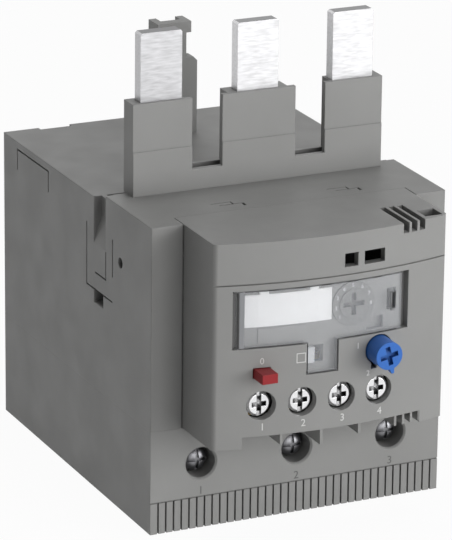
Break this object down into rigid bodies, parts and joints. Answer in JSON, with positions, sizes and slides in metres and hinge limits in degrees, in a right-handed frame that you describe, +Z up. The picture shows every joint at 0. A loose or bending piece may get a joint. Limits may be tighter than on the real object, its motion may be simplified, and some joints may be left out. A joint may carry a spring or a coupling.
{
  "type": "thermal overload relay",
  "caption": "Three-pole thermal overload relay: grey case, bowed front with clear window, setting dial, blue reset, red stop, test slide, terminals, plug-in bars and hook.",
  "frame": {"origin": "centre of the flat bottom face of the terminal base", "axes": "+X to the right across the poles seen from the front, +Y from the front panel to the rear, +Z up along the connection bars"},
  "size_m": [0.07, 0.1075, 0.1062],
  "materials": {
    "case_grey": "fine satin grain, mid grey",
    "base_grey": "fine satin grain, mid grey",
    "cover_grey": "smooth satin, mid grey",
    "clear_window": "clear plastic, slightly grey",
    "label_white": "printed white card",
    "dial_grey": "satin dark grey",
    "button_blue": "semi-gloss blue",
    "button_red": "semi-gloss red",
    "slide_grey": "light grey",
    "inner_black": "satin black",
    "inner_ivory": "satin ivory",
    "tinned_copper": "brushed, tin plated",
    "steel": "zinc plated",
    "screw_chrome": "bright plated",
    "contact_brass": "plain",
    "heater_alloy": "heat tinted",
    "spring_steel": "drawn wire"
  },
  "bodies": {
    "case": {"housing": "case_grey", "terminal_base": "base_grey", "front_cover": "cover_grey", "terminal_shroud": "cover_grey", "coupling_hook": "case_grey", "label_card": "label_white", "aux_terminal_block": "inner_black", "mechanism_frame": "inner_black", "lever_pin": "steel", "reset_spring": "spring_steel", "stop_spring": "spring_steel", "carrier_spring": "spring_steel", "connection_bar_1": "tinned_copper", "load_lug_1": "tinned_copper", "heater_1": "heater_alloy", "bimetal_strip_1": "heater_alloy", "connection_bar_2": "tinned_copper", "load_lug_2": "tinned_copper", "heater_2": "heater_alloy", "bimetal_strip_2": "heater_alloy", "connection_bar_3": "tinned_copper", "load_lug_3": "tinned_copper", "heater_3": "heater_alloy", "bimetal_strip_3": "heater_alloy", "contact_strip_1": "contact_brass", "contact_strip_2": "contact_brass", "contact_strip_3": "contact_brass", "contact_strip_4": "contact_brass"},
    "window": {"window_cover": "clear_window"},
    "dial": {"setting_dial": "dial_grey"},
    "reset_push": {"reset_plunger": "inner_black"},
    "reset_turn": {"reset_knob": "button_blue"},
    "stop": {"stop_button": "button_red"},
    "test": {"test_slide": "slide_grey"},
    "slider": {"trip_slider": "inner_ivory"},
    "lever": {"trip_lever": "inner_ivory", "compensation_strip": "heater_alloy"},
    "carrier": {"contact_carrier": "inner_ivory", "break_contact": "contact_brass", "make_contact": "contact_brass"},
    "screw_1": {"terminal_screw_1": "steel"},
    "cage_1": {"clamp_cage_1": "steel"},
    "screw_2": {"terminal_screw_2": "steel"},
    "cage_2": {"clamp_cage_2": "steel"},
    "screw_3": {"terminal_screw_3": "steel"},
    "cage_3": {"clamp_cage_3": "steel"},
    "aux_washer_body_1": {"aux_washer_1": "screw_chrome"},
    "aux_screw_body_1": {"aux_screw_1": "screw_chrome"},
    "aux_washer_body_2": {"aux_washer_2": "screw_chrome"},
    "aux_screw_body_2": {"aux_screw_2": "screw_chrome"},
    "aux_washer_body_3": {"aux_washer_3": "screw_chrome"},
    "aux_screw_body_3": {"aux_screw_3": "screw_chrome"},
    "aux_washer_body_4": {"aux_washer_4": "screw_chrome"},
    "aux_screw_body_4": {"aux_screw_4": "screw_chrome"}
  },
  "joints": [
    {"name": "window_hinge", "type": "hinge", "parent": "case", "child": "window", "pos_m": [-0.0221, -0.05802, 0.0529], "axis": [0, 0, -1], "range_deg": [0, 110]},
    {"name": "dial_turn", "type": "hinge", "parent": "case", "child": "dial", "pos_m": [0.00445, -0.058, 0.0534], "axis": [0, 1, 0], "range_deg": [0, 270]},
    {"name": "reset_press", "type": "slide", "parent": "case", "child": "reset_push", "axis": [0, 1, 0], "range_m": [0, 0.0025], "stiffness_N_per_m": 400, "springref_m": -0.0015, "deforming": ["reset_spring"]},
    {"name": "reset_selector", "type": "hinge", "parent": "reset_push", "child": "reset_turn", "pos_m": [0.01015, -0.062, 0.04275], "axis": [0, 1, 0], "range_deg": [0, 90]},
    {"name": "stop_press", "type": "slide", "parent": "case", "child": "stop", "axis": [0, 1, 0], "range_m": [0, 0.002], "stiffness_N_per_m": 400, "springref_m": -0.0015, "deforming": ["stop_spring"]},
    {"name": "trip_slide", "type": "slide", "parent": "case", "child": "slider", "axis": [1, 0, 0], "range_m": [0, 0.0015]},
    {"name": "test_move", "type": "slide", "parent": "case", "child": "test", "axis": [1, 0, 0], "range_m": [0, 0.0021]},
    {"name": "lever_pivot", "type": "hinge", "parent": "case", "child": "lever", "pos_m": [0.016, -0.0408, 0.047], "axis": [0, 1, 0], "range_deg": [0, 9]},
    {"name": "carrier_lift", "type": "slide", "parent": "case", "child": "carrier", "axis": [0, 0, 1], "range_m": [0, 0.0015], "stiffness_N_per_m": 200, "springref_m": -0.001, "deforming": ["carrier_spring"]},
    {"name": "screw_turn_1", "type": "hinge", "parent": "case", "child": "screw_1", "pos_m": [-0.023, -0.033, 0.015], "axis": [0, 1, 0], "range_deg": [0, 1440]},
    {"name": "cage_travel_1", "type": "slide", "parent": "case", "child": "cage_1", "axis": [0, -1, 0], "range_m": [0, 0.004]},
    {"name": "screw_turn_2", "type": "hinge", "parent": "case", "child": "screw_2", "pos_m": [0, -0.033, 0.015], "axis": [0, 1, 0], "range_deg": [0, 1440]},
    {"name": "cage_travel_2", "type": "slide", "parent": "case", "child": "cage_2", "axis": [0, -1, 0], "range_m": [0, 0.004]},
    {"name": "screw_turn_3", "type": "hinge", "parent": "case", "child": "screw_3", "pos_m": [0.023, -0.033, 0.015], "axis": [0, 1, 0], "range_deg": [0, 1440]},
    {"name": "cage_travel_3", "type": "slide", "parent": "case", "child": "cage_3", "axis": [0, -1, 0], "range_m": [0, 0.004]},
    {"name": "aux_travel_1", "type": "slide", "parent": "case", "child": "aux_washer_body_1", "axis": [0, 1, 0], "range_m": [0, 0.0024]},
    {"name": "aux_turn_1", "type": "hinge", "parent": "aux_washer_body_1", "child": "aux_screw_body_1", "pos_m": [-0.01715, -0.05758, 0.03345], "axis": [0, 1, 0], "range_deg": [0, 1440]},
    {"name": "aux_travel_2", "type": "slide", "parent": "case", "child": "aux_washer_body_2", "axis": [0, 1, 0], "range_m": [0, 0.0024]},
    {"name": "aux_turn_2", "type": "hinge", "parent": "aux_washer_body_2", "child": "aux_screw_body_2", "pos_m": [-0.008, -0.05869, 0.03345], "axis": [0, 1, 0], "range_deg": [0, 1440]},
    {"name": "aux_travel_3", "type": "slide", "parent": "case", "child": "aux_washer_body_3", "axis": [0, 1, 0], "range_m": [0, 0.0024]},
    {"name": "aux_turn_3", "type": "hinge", "parent": "aux_washer_body_3", "child": "aux_screw_body_3", "pos_m": [0.00115, -0.05899, 0.03345], "axis": [0, 1, 0], "range_deg": [0, 1440]},
    {"name": "aux_travel_4", "type": "slide", "parent": "case", "child": "aux_washer_body_4", "axis": [0, 1, 0], "range_m": [0, 0.0024]},
    {"name": "aux_turn_4", "type": "hinge", "parent": "aux_washer_body_4", "child": "aux_screw_body_4", "pos_m": [0.0103, -0.05849, 0.03345], "axis": [0, 1, 0], "range_deg": [0, 1440]}
  ],
  "couplings": [
    {"joint": "test_move", "follows": "trip_slide", "ratio": 1.4},
    {"joint": "lever_pivot", "follows": "trip_slide", "rad_per_m": 104.7},
    {"joint": "carrier_lift", "follows": "trip_slide", "ratio": 1},
    {"joint": "screw_turn_1", "follows": "cage_travel_1", "rad_per_m": 6283.1},
    {"joint": "screw_turn_2", "follows": "cage_travel_2", "rad_per_m": 6283.1},
    {"joint": "screw_turn_3", "follows": "cage_travel_3", "rad_per_m": 6283.1},
    {"joint": "aux_turn_1", "follows": "aux_travel_1", "rad_per_m": 10472},
    {"joint": "aux_turn_2", "follows": "aux_travel_2", "rad_per_m": 10472},
    {"joint": "aux_turn_3", "follows": "aux_travel_3", "rad_per_m": 10472},
    {"joint": "aux_turn_4", "follows": "aux_travel_4", "rad_per_m": 10472}
  ]
}
